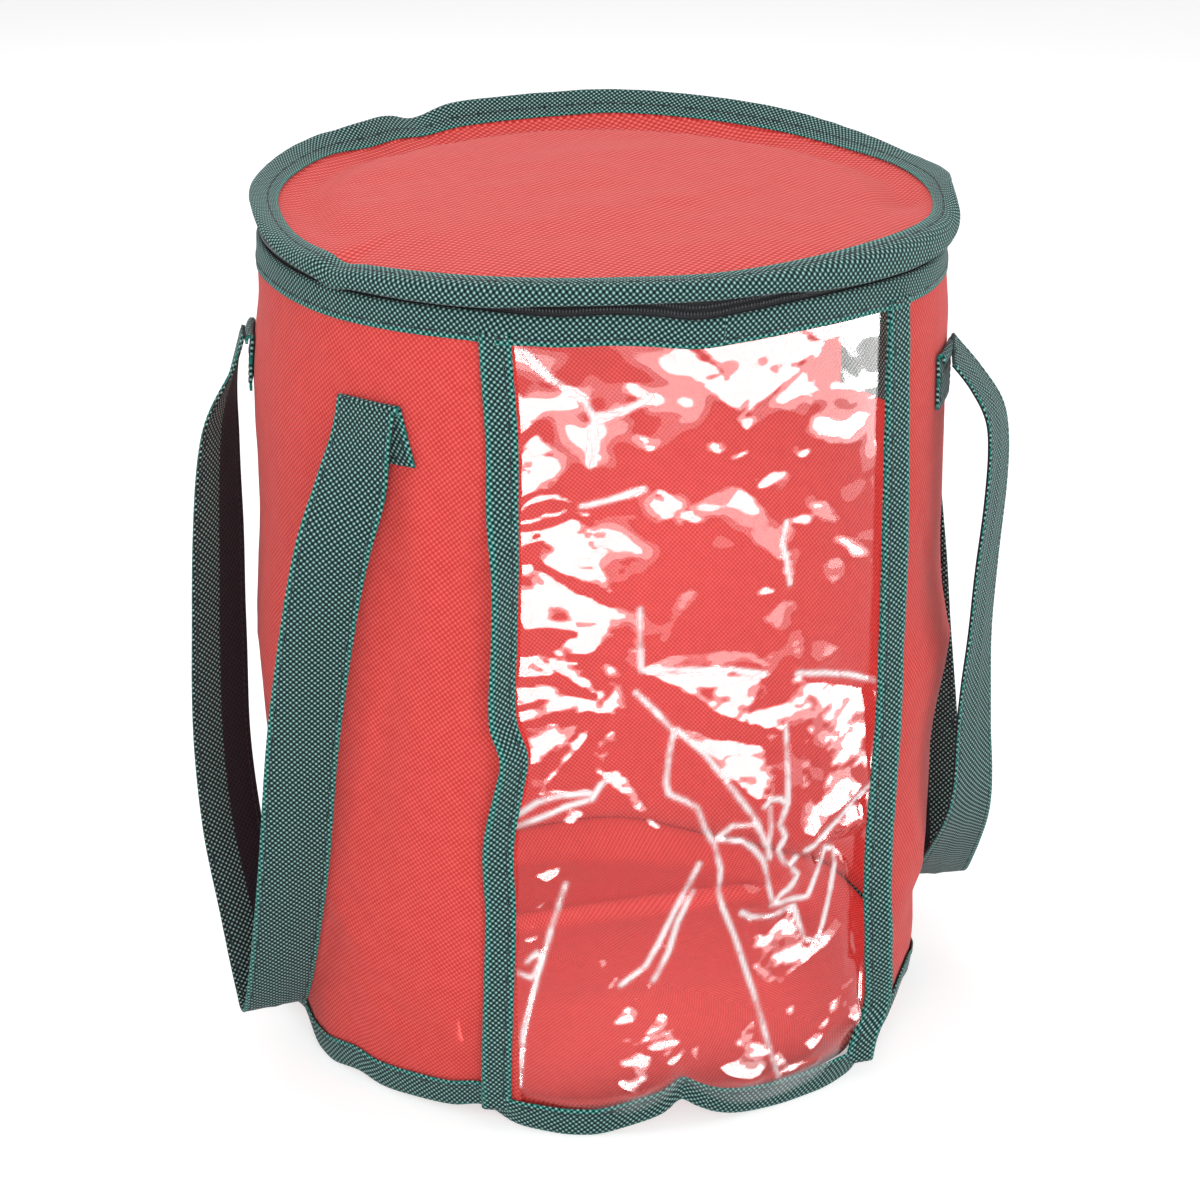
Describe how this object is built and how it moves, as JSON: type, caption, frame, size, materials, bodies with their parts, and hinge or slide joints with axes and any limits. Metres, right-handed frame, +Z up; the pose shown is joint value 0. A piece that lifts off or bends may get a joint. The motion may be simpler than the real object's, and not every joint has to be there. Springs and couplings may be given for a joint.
{
  "type": "light string storage bag",
  "caption": "Upright round fabric bag for strings of lights, with a clear window, a zip-round lid that folds back, and two long carry straps.",
  "frame": {"origin": "centre of the floor's underside, on the ground the bag stands on", "axes": "+Z up along the bag's axis, -Y towards the middle of the clear window, +Y towards the lid's fold, straps at -X and +X"},
  "size_m": [0.3798, 0.3148, 0.3856],
  "materials": {
    "red_fabric": "embossed non-woven",
    "green_fabric": "embossed non-woven",
    "clear_film": "clear glossy film",
    "black_fabric": "woven tape",
    "black_nylon": "satin",
    "black_metal": "satin"
  },
  "bodies": {
    "bag": {"side_panel": "red_fabric", "window_panel": "clear_film", "window_binding_left": "green_fabric", "window_binding_right": "green_fabric", "bottom_panel": "red_fabric", "bottom_binding": "green_fabric", "top_band": "green_fabric", "zip_tape_lower": "black_fabric", "zip_coil_lower": "black_nylon", "zip_stop_start": "black_metal", "zip_stop_end_lower": "black_metal", "lid_hinge_strip": "green_fabric", "handle_left_end_front": "green_fabric", "handle_left_end_back": "green_fabric", "handle_right_end_front": "green_fabric", "handle_right_end_back": "green_fabric", "patch_left_front": "green_fabric", "patch_left_back": "green_fabric", "patch_right_front": "green_fabric", "patch_right_back": "green_fabric"},
    "lid": {"lid_panel": "red_fabric", "lid_binding": "green_fabric", "zip_tape_upper": "black_fabric", "zip_coil_upper": "black_nylon", "zip_stop_end_upper": "black_metal"},
    "slider": {"zip_slider": "black_metal"},
    "pull": {"zip_pull": "black_metal"},
    "handle_left": {"handle_left_strap": "green_fabric"},
    "handle_right": {"handle_right_strap": "green_fabric"}
  },
  "joints": [
    {"name": "lid_hinge", "type": "hinge", "parent": "bag", "child": "lid", "pos_m": [0, 0.15, 0.373], "axis": [-1, 0, 0], "range_deg": [0, 120]},
    {"name": "slider_travel", "type": "hinge", "parent": "bag", "child": "slider", "pos_m": [0, 0, 0.3637], "axis": [0, 0, 1], "range_deg": [-304, 0]},
    {"name": "pull_swing", "type": "hinge", "parent": "slider", "child": "pull", "pos_m": [0.07019, 0.13483, 0.3637], "axis": [0.887, -0.4617, 0], "range_deg": [0, 100]},
    {"name": "handle_left_swing", "type": "hinge", "parent": "bag", "child": "handle_left", "pos_m": [-0.13766, -0.02514, 0.318], "axis": [-0.1797, 0.9837, 0], "range_deg": [0, 135]},
    {"name": "handle_right_swing", "type": "hinge", "parent": "bag", "child": "handle_right", "pos_m": [0.13766, -0.02514, 0.318], "axis": [-0.1797, -0.9837, 0], "range_deg": [0, 120]}
  ]
}
